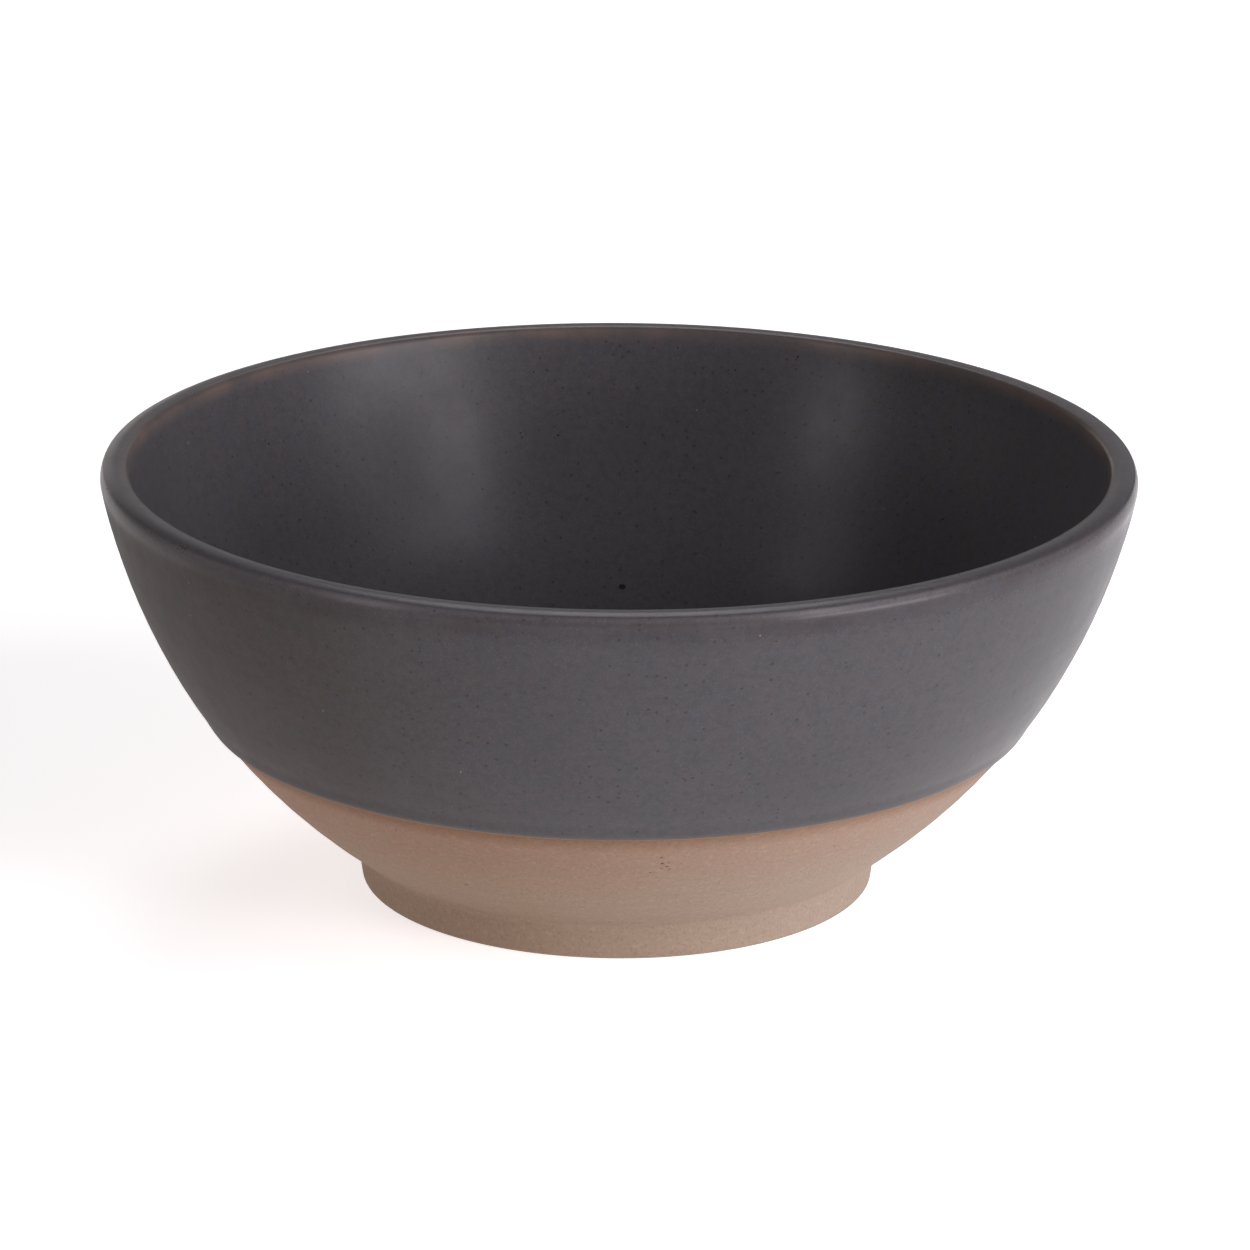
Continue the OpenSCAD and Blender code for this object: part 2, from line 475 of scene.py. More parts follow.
# Turns an outline in mm into a piece; weights holds one value, or one for each point, under a mark's name
def turned(name, points, weights, material, closed=False):
    rim, last = turningSizes["Rim Radius"], len(points) - 1
    edges = [(i, i + 1) for i in range(last)] + ([(last, 0)] if closed else [])
    outline = bpy.data.meshes.new(name + "_outline")
    outline.from_pydata([((radius - rim) * mm, -height * mm, 0) for radius, height in points], edges, [])
    for mark in marks:
        values = np.broadcast_to(np.asarray(weights.get(mark, 0.0), float), len(points)).astype(np.float32)
        outline.attributes.new(mark, "FLOAT", "POINT").data.foreach_set("value", values)
    slope = direction(form.lineAngle + 90)
    values = {label: size * mm for label, size in turningSizes.items()}
    values.update({"Facets": turnSteps, "Line Slope": (slope[0], 0.0, slope[1]), "Seed": noiseSeed})
    piece = grow(name, outline, turnOnWheel, {**values, "Material": material})
    faceOutwards(piece.data)
    piece.data.shade_smooth()
    piece.data.set_sharp_from_angle(angle=math.radians(sharpAngle))
    print(name, len(piece.data.vertices), "vertices")
    return piece


# Helpers for the materials
def startMaterial(name):
    material = bpy.data.materials.new(name)
    material.use_nodes = True
    tree = material.node_tree
    spot = place(tree, "ShaderNodeTexCoord").outputs["Object"]
    return material, tree, tree.nodes["Principled BSDF"], spot


def blend(tree, factor, below, above, kind="MIX"):
    made = place(tree, "ShaderNodeMix", data_type="RGBA", blend_type=kind)
    feed(tree, made.inputs[0], factor)
    for socket, value in ((made.inputs[6], below), (made.inputs[7], above)):
        feed(tree, socket, (*value, 1.0) if isinstance(value, tuple) else value)
    return made.outputs[2]


def attribute(tree, name):
    return place(tree, "ShaderNodeAttribute", attribute_name=name, attribute_type="GEOMETRY").outputs["Fac"]


# A pattern from 0 to 1 as a swing of amount to both sides of nought
def swing(tree, pattern, amount):
    return calc(tree, "MULTIPLY_ADD", pattern, 2 * amount, -amount)


# A pattern from 0 to 1 that falls no lower than least
def atLeast(tree, pattern, least):
    return calc(tree, "MULTIPLY_ADD", pattern, 1 - least, least)


# Round spots on a cell pattern: only the share of cells given shows one, and soft is the width of its edge
def spots(tree, vector, scale, size, soft, shown):
    inputs = {"Vector": vector, "Scale": scale, "Randomness": 1.0}
    cells = place(tree, "ShaderNodeTexVoronoi", inputs, feature="F1")
    near = calc(tree, "SUBTRACT", 1.0, share(tree, cells.outputs["Distance"], size, size + soft))
    dice = place(tree, "ShaderNodeSeparateColor", {"Color": cells.outputs["Color"]}).outputs[0]
    return times(tree, near, calc(tree, "LESS_THAN", dice, shown))


# Noise patterns of a look, by name
def makePatterns(tree, spot, look):
    return {name: noise(tree, spot, *settings) for name, settings in look["patterns"].items()}


# Lays a look's tones and then its spots over a colour
def layTones(tree, spot, colour, patterns, look):
    for pattern, start, full, strength, tone in look["tones"]:
        colour = blend(tree, times(tree, share(tree, patterns[pattern], start, full), strength), colour, tone)
    for *grid, strength, tone in look["spots"]:
        colour = blend(tree, times(tree, spots(tree, spot, *grid), strength), colour, tone)
    return colour


# Share that grows to the left, for shade painted on the side away from the key lights; start and full are in
# metres left of the axis
def leftShadeShare(tree, spot, start, full):
    uneven = swing(tree, noise(tree, spot, 30.0, 2.0), 0.012)  # metres by which its edge wanders
    return share(tree, calc(tree, "SUBTRACT", uneven, separate(tree, spot)["X"]), start, full)


def finishMaterial(tree, shader, look, colour, rough, height):
    feed(tree, shader.inputs["Base Color"], colour)
    feed(tree, shader.inputs["Roughness"], rough)
    shader.inputs["Specular IOR Level"].default_value = look["specular"]
    strength, depth = look["relief"]
    relief = place(tree, "ShaderNodeBump", {"Height": height, "Strength": strength, "Distance": depth * mm})
    feed(tree, shader.inputs["Normal"], relief.outputs[0])


glazeLook = {
    "slate": (0.0685, 0.0650, 0.0690),
    "slateDark": (0.0620, 0.0585, 0.0620),
    # Scale, detail and roughness of each noise
    "patterns": {
        "cloud": (38.0, 3.0, 0.5),
        "tint": (330.0, 3.0, 0.6),
        "mottle": (900.0, 3.0, 0.6),
        "fine": (3200.0, 2.0, 0.5),
        "uneven": (110.0, 3.0, 0.5),
        "patchy": (240.0, 3.0, 0.5),
        "peel": (420.0, 2.0, 0.5),
    },
    # Pattern, where in it the tone starts and is full, strength and colour
    "tones": (
        ("tint", 0.45, 0.62, 0.26, (0.080, 0.070, 0.072)),  # warm
        ("tint", 0.55, 0.38, 0.26, (0.064, 0.069, 0.080)),  # cool
        ("mottle", 0.40, 0.70, 0.36, (0.045, 0.042, 0.046)),
        ("fine", 0.50, 0.75, 0.30, (0.115, 0.108, 0.115)),
    ),
    # Scale, size, soft edge, share of cells with a spot, strength and colour
    "spots": (
        (780.0, 0.10, 0.16, 0.30, 0.55, (0.030, 0.026, 0.025)),  # freckles
        (420.0, 0.03, 0.06, 0.035, 0.50, (0.30, 0.28, 0.28)),  # crystals
    ),
    "breakAndHighlightTone": (0.150, 0.108, 0.088),  # where the glaze breaks brown on the lip's edges; on the inner edge it is also a painted highlight
    "breakAndHighlightStrength": 0.75,
    "breakAndHighlightLeast": 0.4,  # share of it that shows everywhere
    "lipHighlight": (1.22, 1.22, 1.22),  # times the colour: painted highlight on the lip's outer corner
    "underLip": (0.76, 0.725, 0.73),  # times the colour
    "underLipLeast": 0.5,
    "leftShade": (0.60, 0.50, 0.42),  # times the colour towards the left: painted shade, tinted brown
    "leftShadeReach": (0.0, 0.070),
    "leftShadeEnd": (40.4, 37.2),  # gone at the first and whole at the second, in mm above the glaze's lower edge
    "edge": (0.122, 0.098, 0.090),  # at the glaze's lower edge
    "edgeStrength": 0.85,
    "edgeReach": (0.1, 1.3),  # in mm up from the edge
    "roughness": 0.33,
    "patchyRoughness": 0.06,  # swings to both sides
    "fineRoughness": 0.05,
    "leftShadeRoughness": 0.25,  # added on the left, with the painted shade
    "lipRoughness": -0.12,  # added just under the lip
    "specular": 0.13,
    "relief": (0.35, 0.06),  # strength, and depth in mm
}


def mattGlaze():
    look = glazeLook
    material, tree, shader, spot = startMaterial("mattGlaze")
    patterns = makePatterns(tree, spot, look)
    colour = blend(tree, share(tree, patterns["cloud"], 0.3, 0.7), look["slateDark"], look["slate"])
    colour = layTones(tree, spot, colour, patterns, look)
    uneven = share(tree, patterns["uneven"], 0.35, 0.65)
    # Brown break on the lip's edges; on the inner edge also a painted highlight
    breakAndHighlightTone = times(tree, attribute(tree, "breakAndHighlight"), atLeast(tree, uneven, look["breakAndHighlightLeast"]))
    colour = blend(tree, times(tree, breakAndHighlightTone, look["breakAndHighlightStrength"]), colour, look["breakAndHighlightTone"])
    underLip = attribute(tree, "underLip")
    shade = times(tree, underLip, atLeast(tree, uneven, look["underLipLeast"]))
    colour = blend(tree, shade, colour, look["underLip"], "MULTIPLY")
    # Painted highlight on the lip's outer corner
    colour = blend(tree, attribute(tree, "lipHighlight"), colour, look["lipHighlight"], "MULTIPLY")
    above = times(tree, attribute(tree, "belowGlaze"), -1 / mm)  # mm above the glaze's lower edge
    # Painted shade: the left side is browner, darker and rougher, but only outside and up to the lip
    leftShade = times(tree, leftShadeShare(tree, spot, *look["leftShadeReach"]), share(tree, above, *look["leftShadeEnd"]))
    colour = blend(tree, leftShade, colour, look["leftShade"], "MULTIPLY")
    edge = calc(tree, "SUBTRACT", 1.0, share(tree, above, *look["edgeReach"]))
    colour = blend(tree, times(tree, edge, look["edgeStrength"]), colour, look["edge"])
    rough = plus(
        tree,
        look["roughness"],
        swing(tree, patterns["patchy"], look["patchyRoughness"]),
        swing(tree, patterns["fine"], look["fineRoughness"]),
        times(tree, leftShade, look["leftShadeRoughness"]),
        times(tree, underLip, look["lipRoughness"]),
    )
    height = calc(tree, "MULTIPLY_ADD", patterns["peel"], 0.7, times(tree, patterns["fine"], 0.3))
    finishMaterial(tree, shader, look, colour, rough, height)
    return material


clayLook = {
    "pink": (0.300, 0.208, 0.157),
    "grey": (0.300, 0.241, 0.190),
    "greyFrom": (3.0, 22.0),  # distances below the glaze between which pink turns to grey, in mm
    "greyPatches": 0.45,  # how far patches shift that
    # Scale, detail and roughness of each noise
    "patterns": {
        "patch": (55.0, 3.0, 0.5),
        "grain": (2600.0, 3.0, 0.65),
        "coarse": (1100.0, 2.0, 0.6),
        "blotch": (300.0, 3.0, 0.6),
        "haloEdge": (160.0, 2.0, 0.5),
    },
    "streakScale": (22.0, 22.0, 900.0),  # the streaks' noise is drawn out round the bowl
    # Pattern, where in it the tone starts and is full, strength and colour
    "tones": (
        ("streak", 0.35, 0.70, 0.22, (0.262, 0.200, 0.160)),
        ("blotch", 0.40, 0.65, 0.26, (0.285, 0.232, 0.185)),
        ("grain", 0.48, 0.72, 0.52, (0.190, 0.138, 0.108)),
        ("coarse", 0.50, 0.75, 0.30, (0.40, 0.335, 0.29)),
    ),
    # Scale, size, soft edge, share of cells with a spot, strength and colour
    "spots": (
        (900.0, 0.10, 0.12, 0.16, 0.40, (0.190, 0.138, 0.108)),  # sand
        (330.0, 0.05, 0.05, 0.06, 0.70, (0.10, 0.06, 0.045)),  # iron
    ),
    "halo": (0.76, 0.64, 0.54),  # times the colour, just below the glaze
    "haloReach": (4.2, 6.0),  # how far it runs down at least and at most, in mm
    "haloFall": 1.6,  # power by which it falls off
    "leftShade": (0.80, 0.70, 0.625),  # times the colour towards the left: painted shade where the light from the right falls off, tinted warmer
    "leftShadeReach": (-0.050, 0.025),
    "roughness": 0.86,
    "grainRoughness": 0.1,
    "specular": 0.25,
    "relief": (0.5, 0.1),  # strength, and depth in mm
}


def bareStoneware():
    look = clayLook
    material, tree, shader, spot = startMaterial("bareStoneware")
    patterns = makePatterns(tree, spot, look)
    xyz = separate(tree, spot)
    drawnOut = [times(tree, xyz[axis], scale) for axis, scale in zip("XYZ", look["streakScale"])]
    patterns["streak"] = noise(tree, combine(tree, *drawnOut), 1.0, 3.0, 0.55)
    below = times(tree, attribute(tree, "belowGlaze"), 1 / mm)  # mm below the glaze's lower edge
    shift = swing(tree, patterns["patch"], look["greyPatches"])
    grey = plus(tree, share(tree, below, *look["greyFrom"]), shift)
    grey = place(tree, "ShaderNodeClamp", {"Value": grey}).outputs[0]
    colour = blend(tree, grey, look["pink"], look["grey"])
    colour = layTones(tree, spot, colour, patterns, look)
    nearest, farthest = look["haloReach"]
    reach = calc(tree, "MULTIPLY_ADD", patterns["haloEdge"], farthest - nearest, nearest)
    halo = calc(tree, "SUBTRACT", 1.0, share(tree, below, 0.0, reach))
    colour = blend(tree, calc(tree, "POWER", halo, look["haloFall"]), colour, look["halo"], "MULTIPLY")
    # Painted shade, darker and warmer towards the left
    colour = blend(tree, leftShadeShare(tree, spot, *look["leftShadeReach"]), colour, look["leftShade"], "MULTIPLY")
    rough = plus(tree, look["roughness"], swing(tree, patterns["grain"], look["grainRoughness"]))
    marksAndSand = calc(tree, "MULTIPLY_ADD", patterns["streak"], 0.5, times(tree, patterns["coarse"], 0.4))
    height = plus(tree, times(tree, patterns["grain"], 0.5), marksAndSand)
    finishMaterial(tree, shader, look, colour, rough, height)
    return material


speckLook = {
    "glaze": {"dark": (0.012, 0.010, 0.010), "rust": (0.035, 0.024, 0.018)},
    "clay": {"dark": (0.060, 0.030, 0.022), "rust": (0.110, 0.058, 0.040)},
    "patterns": {"rusty": (260.0, 3.0, 0.5), "grain": (5000.0, 2.0, 0.5)},
    "roughness": 0.6,
    "grainRoughness": 0.1,
    "specular": 0.1,
    "relief": (0.4, 0.03),  # strength, and depth in mm
}


def ironSpeck(name, ground):
    look = speckLook
    material, tree, shader, spot = startMaterial(name)
    patterns = makePatterns(tree, spot, look)
    rusty = share(tree, patterns["rusty"], 0.35, 0.65)
    colour = blend(tree, rusty, look[ground]["dark"], look[ground]["rust"])
    rough = plus(tree, look["roughness"], swing(tree, patterns["grain"], look["grainRoughness"]))
    finishMaterial(tree, shader, look, colour, rough, patterns["grain"])
    return material


glazeMaterial = mattGlaze()
clayMaterial = bareStoneware()
speckMaterial = ironSpeck("ironSpeck", "glaze")
dotMaterial = ironSpeck("ironDot", "clay")
print("materials made")

# The glaze coat: from the roll at its lower edge over the rim and down to the floor
coatShape = {
    "step": 0.85,  # spacing of the outline's points on what shows, in mm like all lengths here
    "fine": 0.19,  # and round the lip
    "rollSteps": 8,  # in each half of the roll
    "hiddenStep": 3.0,  # against the clay
    "hiddenFine": 0.6,
    "ripple": 0.45,  # share of the turning marks that shows through the glaze
    "rippleEnd": 3.0,  # they end this far below the lip's top
    "rippleFade": 5.0,  # and fade over this height
    "spiralReach": 34.0,  # radius over which the floor's spiral dies out
    "spiralTop": 40.0,  # height above which there is none
    "pullReach": 7.0,  # height over which the coat follows the waves of its edge
    "speckleOutside": 0.25,  # share of the inside's specks
    # Bands round the lip: height, reach up and down, and strength
    "thinOutside": (62.2, 0.9, 0.12),
    # brown break and painted highlight on the lip's inner edge
    "insideBreakAndHighlight": (62.6, 0.9, 1.0),
    "underLip": (61.0, 1.7, 1.0),
    # painted highlight band on the lip's outer corner
    "lipHighlight": (62.8, 0.38, 1.0),
}


# Thickness of the outside glaze at a distance above its lower edge
def rollCoat(up):
    roll, glaze, width = bowlForm["roll"], bowlForm["glaze"], bowlForm["rollWidth"]
    edge = np.sqrt(np.maximum(roll**2 - np.maximum(roll - up, 0) ** 2, 0))
    tail = glaze + (roll - glaze) * (1 + np.cos(np.pi * np.clip((up - roll) / (width - roll), 0, 1))) / 2
    return np.where(up < roll, edge, tail)


def makeRoll(steps):
    roll, width = bowlForm["roll"], bowlForm["rollWidth"]
    edge = roll * (1 - np.cos(np.radians(np.linspace(0, 90, steps + 1))))
    ups = np.concatenate((edge, np.linspace(roll, width, steps + 1)[1:]))
    angles = np.radians(form.lineAngle) + ups / form.bellyRadius
    reach = form.bellyRadius + rollCoat(ups)
    out, up = form.bellyCentre
    return np.column_stack((out + reach * np.cos(angles), up + reach * np.sin(angles)))


def makeGlazeCoat():
    look, coat = coatShape, bowlForm["glaze"]
    rollTop = form.lineAngle + math.degrees(bowlForm["rollWidth"] / form.bellyRadius)
    outside = drift(join(makeRoll(look["rollSteps"]), *outerWall(coat, rollTop, look["step"], look["fine"])))
    inside = join(*innerWall(coat, look["step"], look["fine"]))
    backOut = drift(join(*outerWall(0, form.lineAngle, look["hiddenStep"], look["hiddenFine"])))[1:]
    backIn = join(*innerWall(0, look["hiddenStep"], look["hiddenFine"]))
    points = np.vstack((backIn[::-1], backOut[-2::-1], outside, inside[1:]))
    front = len(backIn) + len(backOut) - 1
    number = np.arange(len(points))
    shows = number >= front
    isOutside = shows & (number < front + len(outside))
    isInside = shows & ~isOutside
    onOutside = isOutside | (~shows & (number >= len(backIn)))
    radius, height = points[:, 0], points[:, 1]
    above = -belowLine(points)

    def band(name, side):
        centre, width, strength = look[name]
        return strength * bump(height, centre, width) * side

    fade = np.clip((bowlForm["height"] - look["rippleEnd"] - height) / look["rippleFade"], 0, 1)
    inFloor = np.exp(-((radius / look["spiralReach"]) ** 4)) * (height < look["spiralTop"])
    nearEdge = np.exp(-((np.maximum(above, 0) / look["pullReach"]) ** 2))
    weights = {
        "ripple": np.where(isOutside, look["ripple"], 0.0) * fade,
        "spiral": (~onOutside) * inFloor,
        "pull": np.where(onOutside, nearEdge, 0.0),
        "belowGlaze": np.where(onOutside, -above * mm, -1.0),  # inside it counts as a metre above the edge
        "speckle": np.where(isOutside, look["speckleOutside"], 1.0) * shows,
        "breakAndHighlight": band("thinOutside", isOutside) + band("insideBreakAndHighlight", isInside),
        "underLip": band("underLip", isOutside),
        "lipHighlight": band("lipHighlight", isOutside),
    }
    return turned("glaze_coat", points, weights, glazeMaterial)


glazeCoat = makeGlazeCoat()

# The clay wall and floor; only the outside below the glaze line and the underside show
bodyShape = {
    "step": 0.36,  # spacing of the outline's points on the bare wall, in mm like all lengths here
    "underStep": 0.8,
    "hiddenStep": 1.6,
    "hiddenFine": 0.6,
    "rippleFade": 3.0,  # height over which the turning marks grow from the foot up
    "underSpiral": -0.9,  # share of the floor's spiral on the underside, the other way up
    "underSpiralReach": 30.0,
    "underBelow": 40.0,  # how far below the glaze the underside counts
    "hiddenBelow": -1.0,  # and what the glaze covers
}


def makeClayBody():
    look = bodyShape
    under = straight([0, bowlForm["footHeight"]], form.crease, look["underStep"])[:-1]
    wall = drift(arc(form.bellyCentre, form.bellyRadius, form.creaseAngle, form.lineAngle, look["step"]))
    outside = drift(join(*outerWall(0, form.lineAngle, look["hiddenStep"], look["hiddenFine"])))
    inside = join(*innerWall(0, look["hiddenStep"], look["hiddenFine"]))
    points = np.vstack((under, wall, outside[1:], inside[1:]))
    number = np.arange(len(points))
    onUnder = number < len(under)
    onWall = ~onUnder & (number < len(under) + len(wall))
    fade = np.clip((points[:, 1] - bowlForm["footHeight"]) / look["rippleFade"], 0, 1)
    unseen = np.where(onUnder, look["underBelow"], look["hiddenBelow"])
    weights = {
        "ripple": np.where(onWall, fade, 0.0),
        "spiral": np.where(onUnder, look["underSpiral"] * (points[:, 0] < look["underSpiralReach"]), 0.0),
        "belowGlaze": np.where(onWall, belowLine(points), unseen) * mm,
        "speckle": np.where(onWall | onUnder, 1.0, 0.0),
    }
    return turned("clay_body", points, weights, clayMaterial)


# The ring that the bowl stands on
ringShape = {
    "step": 0.30,  # spacing of the outline's points, in mm like all lengths here
    "roundStep": 0.08,
    "hiddenStep": 1.0,
    "fillet": 2.0,  # round between the ring and the belly
    "innerFillet": 1.1,  # and the one in the hollow's corner
    "ripple": 0.8,  # share of the turning marks on the ring's outside
    "rippleLow": (0.8, 1.0),  # they begin at this height, and grow over this much
    "rippleHigh": (0.4, 0.6),  # they end this far below the ring's top, and fade over this much
    "rippleRadius": 34.0,  # none further in
    "belowGlaze": 30.0,
}


def makeFootRing():
    look, f, top = ringShape, bowlForm, bowlForm["footHeight"]
    rounding = f["footRound"]
    outer, inner = f["footBase"] / 2, f["footBase"] / 2 - f["footWidth"]
    innerTop = inner - f["footDraft"]
    base = np.array([outer - rounding, rounding])
    baseIn = np.array([inner + rounding, rounding])

    def sideLean(out, up):
        return math.degrees(math.atan2(out, up) - math.asin(rounding / math.hypot(out, up)))

    outLean = sideLean(form.crease[0] - base[0], top - rounding)
    inLean = sideLean(baseIn[0] - innerTop, top - rounding)
    # Round that eases the ring's side into the belly: it slides down the side until it touches both
    normal, down = direction(-outLean), -direction(90 - outLean)
    slide = 0.0
    for _ in range(60):
        centre = form.crease + slide * down + look["fillet"] * normal
        slide += form.bellyRadius + look["fillet"] - np.linalg.norm(centre - form.bellyCentre)
    toBelly = angleOf(form.bellyCentre - centre)
    fillet = arc(centre, look["fillet"], 180 - outLean, toBelly % 360, look["step"] * 0.5)
    backAngle = angleOf(fillet[-1] - form.bellyCentre)
    # The same inside, against the flat underside
    small = look["innerFillet"]
    innerNormal = direction(180 + inLean)
    lower = (small - small * abs(innerNormal[1])) * math.tan(math.radians(inLean))
    centreIn = np.array([innerTop + (innerNormal[0] * small) + lower, top - small])
    filletIn = arc(centreIn, small, 90, inLean, look["step"] * 0.5)
    points = drift(join(
        straight([baseIn[0], 0], [base[0], 0], look["step"]),
        arc(base, rounding, -90, -outLean, look["roundStep"]),
        straight(base + rounding * direction(-outLean), fillet[0], look["step"]),
        fillet,
        arc(form.bellyCentre, form.bellyRadius, backAngle, form.creaseAngle, look["step"]),
        straight(form.crease, [filletIn[0][0], top], look["hiddenStep"]),
        filletIn,
        straight(filletIn[-1], baseIn + rounding * direction(-180 + inLean), look["step"]),
        arc(baseIn, rounding, -180 + inLean, -90, look["roundStep"]),
    )[:-1])
    radius, height = points[:, 0], points[:, 1]
    (start, grows), (end, fades) = look["rippleLow"], look["rippleHigh"]
    fade = np.clip((height - start) / grows, 0, 1) * np.clip((top - end - height) / fades, 0, 1)
    ripple = fade * look["ripple"] * (radius > look["rippleRadius"])
    weights = {"ripple": ripple, "belowGlaze": look["belowGlaze"] * mm, "speckle": 1.0}
    return turned("clay_foot_ring", points, weights, clayMaterial, closed=True)


clayBody = makeClayBody()
footRing = makeFootRing()
print("bowl turned")

# Iron specks that bled through the glaze, and a few dots in the bare clay
specks = {
    "glaze": {
        "Density": 4200.0,  # on a square metre
        "Smallest": 0.10 * mm,
        "Largest": 0.40 * mm,
        "Height Share": 0.10,  # of the size
        "Seed": 21,
    },
    "clay": {"Density": 2500.0, "Smallest": 0.11 * mm, "Largest": 0.32 * mm, "Height Share": 0.14, "Seed": 5},
}
# The ones that stand out: degrees round the axis, height and size in mm
placedSpecks = {
    "inside": (
        (89.4, 26.6, 1.05), (82.7, 60.4, 0.27), (75.2, 57.5, 0.24), (101.1, 56.8, 0.25),
        (61.0, 51.8, 0.26), (131.2, 36.1, 0.27), (108.8, 52.6, 0.25), (135.6, 36.0, 0.24),
        (98.2, 50.4, 0.23), (89.0, 48.4, 0.26), (147.8, 42.1, 0.23), (128.8, 34.5, 0.24),
        (53.3, 55.0, 0.20), (127.4, 31.5, 0.25), (125.6, 34.0, 0.20), (54.9, 56.5, 0.21),
        (67.6, 43.3, 0.20), (148.7, 58.4, 0.18), (130.6, 46.7, 0.22), (67.7, 49.0, 0.21),
        (79.9, 26.4, 0.20), (110.6, 42.6, 0.20), (122.2, 44.0, 0.21), (49.8, 33.2, 0.20),
    ),
    "outside": (
        (-73.4, 58.9, 0.26), (-82.5, 60.4, 0.18), (-78.8, 59.4, 0.16),
        (-66.1, 44.9, 0.18), (-71.5, 26.9, 0.20), (-130.0, 57.6, 0.17),
    ),
    "clay": (
        (-83.44, 21.09, 0.50), (-82.5, 21.14, 0.30), (-82.67, 20.36, 0.40),
        (-83.5, 20.03, 0.28), (-82.23, 19.8, 0.30), (-85.0, 19.17, 0.25),
    ),
}
placedShape = {
    "halfWidth": 0.46,  # as a share of the size
    "segments": 14,
    "rings": 8,
    "lookFrom": 0.2,  # metres from the axis, where the search for the outside's surface starts
}

glazeValues = {**specks["glaze"], "Material": speckMaterial}
clayValues = {**specks["clay"], "Material": dotMaterial}
glazeSpecks = grow("iron_specks", glazeCoat.data.copy(), strewSpecks, glazeValues)
clayDots = grow("clay_iron_dots", clayBody.data.copy(), strewSpecks, clayValues)


# Sets single specks on the first face that is met from the axis, or from outside
def addSpecks(piece, surface, places, fromAxis, heightShare):
    work = bmesh.new()
    work.from_mesh(surface.data)
    skin = BVHTree.FromBMesh(work)
    work.free()
    work = bmesh.new()
    work.from_mesh(piece.data)
    for turn, height, size in places:
        outward = Vector((*direction(turn), 0.0))
        start = Vector((0, 0, height * mm)) + outward * (0.0 if fromAxis else placedShape["lookFrom"])
        spot, normal = skin.ray_cast(start, outward if fromAxis else -outward)[:2]
        normal = normal if (normal.dot(outward) < 0) == fromAxis else -normal
        wide = Vector((size / 2, size * placedShape["halfWidth"], size / 2 * heightShare)) * mm
        lie = Matrix.LocRotScale(spot, normal.to_track_quat("Z", "Y"), wide)
        segments, rings = placedShape["segments"], placedShape["rings"]
        bmesh.ops.create_uvsphere(work, u_segments=segments, v_segments=rings, radius=1.0, matrix=lie)
    for face in work.faces:
        face.smooth = True
    work.to_mesh(piece.data)
    work.free()


addSpecks(glazeSpecks, glazeCoat, placedSpecks["inside"], True, specks["glaze"]["Height Share"])
addSpecks(glazeSpecks, glazeCoat, placedSpecks["outside"], False, specks["glaze"]["Height Share"])
addSpecks(clayDots, clayBody, placedSpecks["clay"], False, specks["clay"]["Height Share"])
faceCounts = [len(piece.data.polygons) for piece in (glazeSpecks, clayDots)]
print("specks strewn:", faceCounts[0], "faces on the glaze,", faceCounts[1], "on the clay")

# The pieces in the frame
slots = (
    (glazeCoat, "matt_glaze"),
    (clayBody, "bare_stoneware"),
    (footRing, "bare_stoneware"),
    (glazeSpecks, "matt_glaze"),
    (clayDots, "bare_stoneware"),
)
for piece, slot in slots:
    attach(piece, "root")
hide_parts("inside_glaze", "outside_glaze")
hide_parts("stoneware_body")
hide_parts("foot_ring")

# Floor and lights; each light aims at the bowl's middle from the same distance, in metres
studio = {
    "floor": {
        "size": 12.0,
        "colour": (0.90, 0.90, 0.90),
        "cloudy": 0.985,  # times the colour, in clouds
        "roughness": 0.8,
        "glow": (0.55, 0.72),  # at the left and the right end of the glow's span
        "glowSpan": 0.25,  # to both sides of the axis
        "glowColour": (1.0, 0.975, 0.97),
    },
    "room": {"colour": (1.0, 1.0, 1.0), "strength": 0.0},
    "away": 1.8,
    "aimHeight": 0.04,
    # Degrees to the side, up, and turned about its own axis; width, height, watts and colour
    "lights": {
        "keyTop": (53.0, 41.0, -30.0, 0.36, 0.36, 3.9, (0.93, 0.92, 1.0)),
        "keyMiddle": (47.0, 31.0, -16.0, 0.36, 0.36, 4.2, (0.94, 0.93, 1.0)),
        "keyFoot": (44.0, 21.0, -6.0, 0.36, 0.36, 6.3, (1.0, 0.91, 0.93)),
        "keyLow": (54.0, 6.0, 0.0, 1.0, 0.3, 16.6, (0.97, 0.94, 1.0)),
        "fillTop": (-71.0, 45.0, 32.0, 0.36, 0.72, 3.1, (1.0, 0.94, 0.98)),
        "fillFoot": (-56.0, 17.0, 4.0, 0.36, 0.76, 6.9, (1.0, 0.94, 0.98)),
        "leftWall": (-96.0, 8.0, 0.0, 0.9, 0.5, 1.4, (1.0, 0.93, 0.93)),
        "rightWall": (72.0, 23.0, 0.0, 0.42, 1.34, 5.8, (1.0, 0.96, 0.99)),
        "backTop": (180.0, 50.0, 0.0, 0.6, 0.85, 8.2, (0.97, 0.96, 1.0)),
        "backLow": (180.0, 14.0, 0.0, 1.5, 0.35, 1.3, (1.0, 0.98, 1.0)),
        "backLeft": (-157.0, 8.0, 0.0, 0.9, 0.4, 1.1, (1.0, 0.9, 0.84)),
    },
}


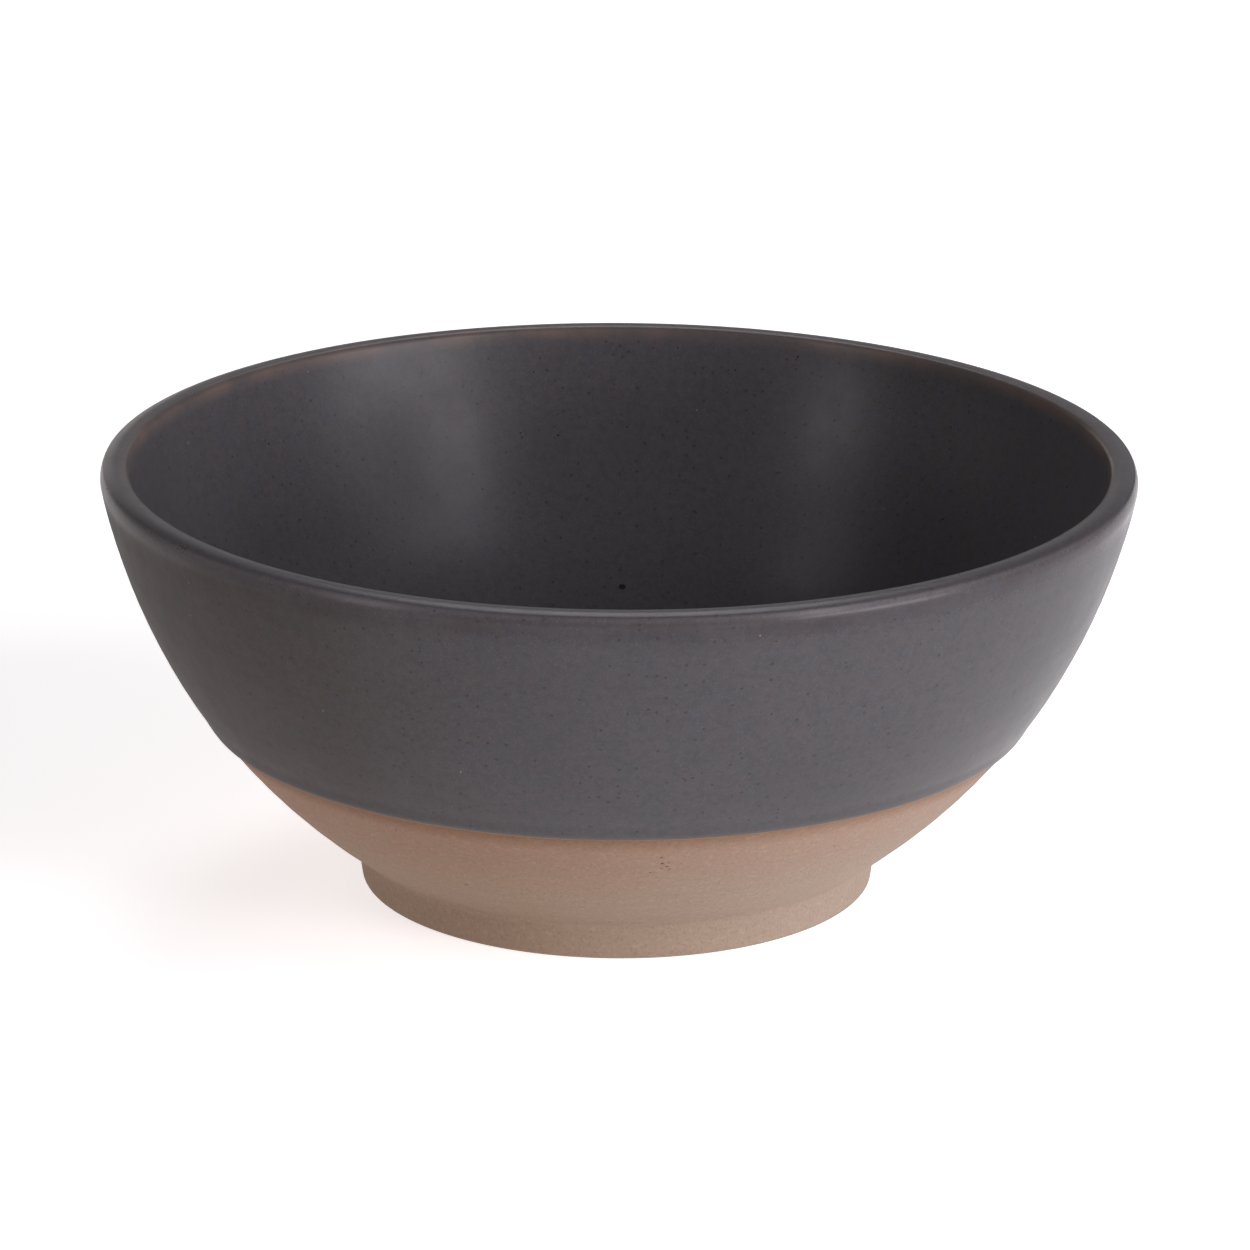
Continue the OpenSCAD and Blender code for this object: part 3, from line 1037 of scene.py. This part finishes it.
def makeFloor():
    look = studio["floor"]
    half = look["size"] / 2
    corners = [(-half, -half, 0), (half, -half, 0), (half, half, 0), (-half, half, 0)]
    mesh = bpy.data.meshes.new("paleFloor")
    mesh.from_pydata(corners, [], [(0, 1, 2, 3)])
    floor = bpy.data.objects.new("pale_floor", mesh)
    scene.collection.objects.link(floor)
    material, tree, shader, spot = startMaterial("paleFloor")
    cloudy = tuple(channel * look["cloudy"] for channel in look["colour"])
    feed(tree, shader.inputs["Base Color"], blend(tree, noise(tree, spot, 6.0, 3.0), look["colour"], cloudy))
    shader.inputs["Roughness"].default_value = look["roughness"]
    shader.inputs["Emission Color"].default_value = (*look["glowColour"], 1.0)
    # Painted light: the floor glows like an underlit table top, brighter towards the key lights
    span = {"Value": separate(tree, spot)["X"], "From Min": -look["glowSpan"], "From Max": look["glowSpan"]}
    glow = place(tree, "ShaderNodeMapRange", {**span, "To Min": look["glow"][0], "To Max": look["glow"][1]})
    feed(tree, shader.inputs["Emission Strength"], glow.outputs[0])
    mesh.materials.append(material)
    return floor


def makeLight(name, side, rise, turn, width, tall, power, colour):
    light = bpy.data.lights.new(name, "AREA")
    light.shape = "RECTANGLE"
    light.size, light.size_y = width, tall
    light.energy, light.color = power, colour
    lamp = bpy.data.objects.new(name, light)
    side, rise = math.radians(side), math.radians(rise)
    away = Vector((math.sin(side) * math.cos(rise), -math.cos(side) * math.cos(rise), math.sin(rise)))
    spot = studio["away"] * away
    lamp.location = spot + Vector((0, 0, studio["aimHeight"]))
    ownTurn = Matrix.Rotation(math.radians(turn), 3, "Z")
    lamp.rotation_euler = ((-spot).to_track_quat("-Z", "Y").to_matrix() @ ownTurn).to_euler()
    scene.collection.objects.link(lamp)


makeFloor()
for name, settings in studio["lights"].items():
    makeLight(name, *settings)
world = bpy.data.worlds.new("paleRoom")
world.use_nodes = True
sky = world.node_tree.nodes["Background"].inputs
sky["Color"].default_value = (*studio["room"]["colour"], 1.0)
sky["Strength"].default_value = studio["room"]["strength"]
scene.world = world
scene.view_settings.view_transform = "Standard"
scene.view_settings.look = "None"

photoCamera = {
    "lens": 187.5,  # in mm, like the sensor
    "sensor": 36.0,
    "distance": 0.950,  # in metres from the axis at the aim's height
    "down": 18.02,  # degrees below level
    "aimHeight": 0.03785,
    "roll": 0.40,  # degrees
    "shift": 0.0054,
    "near": 0.02,
    "far": 60.0,
}


def makeCamera():
    look = photoCamera
    lens = bpy.data.cameras.new("photoCamera")
    lens.lens, lens.sensor_width, lens.sensor_fit = look["lens"], look["sensor"], "HORIZONTAL"
    lens.shift_x = look["shift"]
    lens.clip_start, lens.clip_end = look["near"], look["far"]
    lens.dof.use_dof = False
    camera = bpy.data.objects.new("photoCamera", lens)
    down = math.radians(look["down"])
    back, up = look["distance"] * math.cos(down), look["distance"] * math.sin(down)
    camera.location = (0, -back, look["aimHeight"] + up)
    roll = Matrix.Rotation(math.radians(look["roll"]), 4, "Z")
    camera.rotation_euler = (Matrix.Rotation(math.radians(90) - down, 4, "X") @ roll).to_euler()
    scene.collection.objects.link(camera)
    return camera


scene.camera = makeCamera()
print("studio ready")
